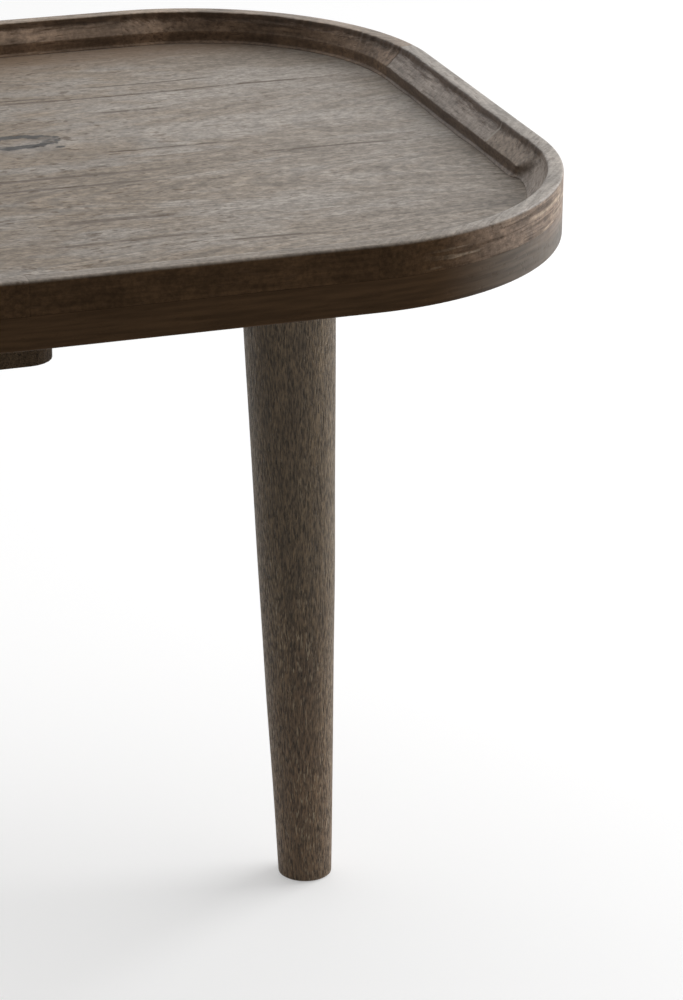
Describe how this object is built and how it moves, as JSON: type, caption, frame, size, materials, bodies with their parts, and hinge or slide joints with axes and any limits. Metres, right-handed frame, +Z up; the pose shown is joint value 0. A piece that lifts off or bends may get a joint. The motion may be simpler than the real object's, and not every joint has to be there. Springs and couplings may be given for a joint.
{
  "type": "side table",
  "caption": "Low square side table with a round-cornered tray top, a raised bevelled rim and slim tapered turned legs, in solid wood.",
  "frame": {"origin": "on the floor, under the middle of the tray", "axes": "+Z up; +X towards the side with the single leg, along the tray's grain; +Y to the rear"},
  "size_m": [0.45, 0.45, 0.45],
  "materials": {
    "tray_wood": "satin, grey-brown stain",
    "rim_wood": "satin, grey-brown stain, rubbed edges",
    "leg_wood": "matt, grey-brown stain",
    "leg_board_wood": "matt, dark stain",
    "steel": "zinc plated"
  },
  "bodies": {
    "root": {"tray_board_1": "tray_wood", "tray_board_2": "tray_wood", "tray_board_3": "tray_wood", "tray_board_4": "tray_wood", "rim_rail_front": "rim_wood", "rim_rail_right": "rim_wood", "rim_rail_rear": "rim_wood", "rim_rail_left": "rim_wood", "rim_corner_front_right": "rim_wood", "rim_corner_rear_right": "rim_wood", "rim_corner_rear_left": "rim_wood", "rim_corner_front_left": "rim_wood", "rim_dowel_front_1": "rim_wood", "rim_dowel_front_2": "rim_wood", "rim_dowel_right_1": "rim_wood", "rim_dowel_right_2": "rim_wood", "rim_dowel_rear_1": "rim_wood", "rim_dowel_rear_2": "rim_wood", "rim_dowel_left_1": "rim_wood", "rim_dowel_left_2": "rim_wood", "leg_board_left": "leg_board_wood", "leg_board_right": "leg_board_wood", "leg_right": "leg_wood", "leg_front_left": "leg_wood", "leg_rear_left": "leg_wood", "hanger_bolt_right": "steel", "threaded_insert_right": "steel", "hanger_bolt_front_left": "steel", "threaded_insert_front_left": "steel", "hanger_bolt_rear_left": "steel", "threaded_insert_rear_left": "steel", "leg_board_screw_left_1": "steel", "leg_board_screw_left_2": "steel", "leg_board_screw_left_3": "steel", "leg_board_screw_left_4": "steel", "leg_board_screw_left_5": "steel", "leg_board_screw_left_6": "steel", "leg_board_screw_left_7": "steel", "leg_board_screw_left_8": "steel", "leg_board_screw_right_1": "steel", "leg_board_screw_right_2": "steel", "leg_board_screw_right_3": "steel", "leg_board_screw_right_4": "steel"}
  },
  "joints": []
}
